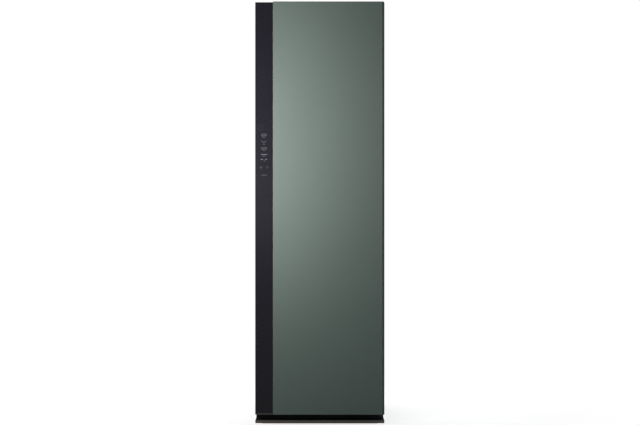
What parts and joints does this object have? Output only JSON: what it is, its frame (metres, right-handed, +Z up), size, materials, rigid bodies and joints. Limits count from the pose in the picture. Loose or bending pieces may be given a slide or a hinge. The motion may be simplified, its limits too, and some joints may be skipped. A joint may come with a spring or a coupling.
{
  "type": "clothes care steam cabinet",
  "caption": "Tall steam cabinet for clothes: glass-faced door with a touch strip, shaking hanger rail, trouser press, water tanks and heat pump.",
  "frame": {"origin": "on the floor under the middle of the cabinet's box", "axes": "+Z up, -Y out of the door, +X to the right as seen from the front, where the door is hinged"},
  "size_m": [0.6, 0.596, 1.96],
  "materials": {
    "face_glass": "grey-green lacquered glass",
    "control_glass": "bluish black glass",
    "black_trim": "satin",
    "cabinet_sheet": "satin dark grey",
    "zinc_sheet": "galvanised",
    "plinth_metal": "satin brown grey",
    "liner": "matt moulded",
    "press_pad": "heat-proof foam cover",
    "rail_metal": "anodised warm grey",
    "tank": "smoked translucent",
    "lens": "frosted",
    "black_part": "matt",
    "rubber": "matt",
    "coil": "bare",
    "copper": "bare copper"
  },
  "bodies": {
    "cabinet": {"base_pan": "zinc_sheet", "side_panel_left": "cabinet_sheet", "side_panel_right": "cabinet_sheet", "top_cover": "black_trim", "back_panel": "zinc_sheet", "front_header": "cabinet_sheet", "front_sill": "cabinet_sheet", "liner_left": "liner", "liner_right": "liner", "liner_back": "liner", "liner_ceiling": "liner", "cavity_floor": "liner", "ceiling_light_lens": "lens", "steam_nozzle": "black_part", "tank_bay_frame": "liner", "supply_tank": "tank", "drain_tank": "tank", "supply_tank_lid": "black_part", "drain_tank_lid": "black_part", "compressor": "black_part", "evaporator": "coil", "condenser": "coil", "air_duct": "black_part", "fan_housing": "black_part", "fan_motor": "zinc_sheet", "steam_generator": "liner", "steam_pipe": "rubber", "supply_pump": "black_part", "drain_pump": "black_part", "control_box": "liner", "refrigerant_pipe": "copper", "cord_gland": "rubber", "rear_foot_left": "rubber", "rear_foot_right": "rubber", "plinth_bar": "plinth_metal", "hinge_bracket_top": "zinc_sheet", "hinge_bracket_bottom": "zinc_sheet", "hinge_cover": "black_trim", "drive_frame": "zinc_sheet", "drive_motor": "zinc_sheet", "drive_belt": "rubber", "shelf": "black_part"},
    "door": {"door_casing": "black_trim", "door_glass": "face_glass", "control_strip": "control_glass", "door_liner": "liner", "door_gasket": "rubber", "press_base": "press_pad", "trouser_clip": "rail_metal"},
    "press": {"press_plate": "liner"},
    "latch": {"press_latch": "rail_metal"},
    "moving_hanger": {"hanger_bar": "rail_metal", "hanger_carriage": "black_part"},
    "crank": {"crank_wheel": "rail_metal"},
    "motor_wheel": {"motor_pulley": "zinc_sheet"},
    "fan": {"fan_impeller": "black_part"},
    "filter": {"lint_filter": "black_part"},
    "aroma": {"aroma_cartridge": "black_part"},
    "foot_left": {"foot_front_left": "black_part"},
    "foot_right": {"foot_front_right": "black_part"}
  },
  "joints": [
    {"name": "door_hinge", "type": "hinge", "parent": "cabinet", "child": "door", "pos_m": [0.281, -0.268, 0.041], "axis": [0, 0, 1], "range_deg": [0, 110]},
    {"name": "press_hinge", "type": "hinge", "parent": "door", "child": "press", "pos_m": [0.19, -0.2032, 1.08], "axis": [0, 0, -1], "range_deg": [0, 95]},
    {"name": "press_latch_slide", "type": "slide", "parent": "press", "child": "latch", "axis": [1, 0, 0], "range_m": [0, 0.007], "stiffness_N_per_m": 200},
    {"name": "hanger_shake", "type": "slide", "parent": "cabinet", "child": "moving_hanger", "axis": [1, 0, 0], "range_m": [-0.015, 0.015]},
    {"name": "crank_spin", "type": "hinge", "parent": "cabinet", "child": "crank", "pos_m": [0, 0.003, 1.88], "axis": [0, 0, 1], "continuous": true},
    {"name": "motor_pulley_spin", "type": "hinge", "parent": "cabinet", "child": "motor_wheel", "pos_m": [-0.105, 0.003, 1.88], "axis": [0, 0, 1], "continuous": true},
    {"name": "fan_spin", "type": "hinge", "parent": "cabinet", "child": "fan", "pos_m": [-0.008, 0.093, 0.155], "axis": [0, 1, 0], "continuous": true},
    {"name": "filter_lift", "type": "slide", "parent": "cabinet", "child": "filter", "axis": [0, 0, 1], "range_m": [0, 0.11]},
    {"name": "aroma_lift", "type": "slide", "parent": "cabinet", "child": "aroma", "axis": [0, 0, 1], "range_m": [0, 0.06]},
    {"name": "foot_left_screw", "type": "slide", "parent": "cabinet", "child": "foot_left", "axis": [0, 0, -1], "range_m": [0, 0.015]},
    {"name": "foot_right_screw", "type": "slide", "parent": "cabinet", "child": "foot_right", "axis": [0, 0, -1], "range_m": [0, 0.015]}
  ],
  "couplings": [
    {"joint": "motor_pulley_spin", "follows": "crank_spin", "ratio": 3.3636}
  ]
}
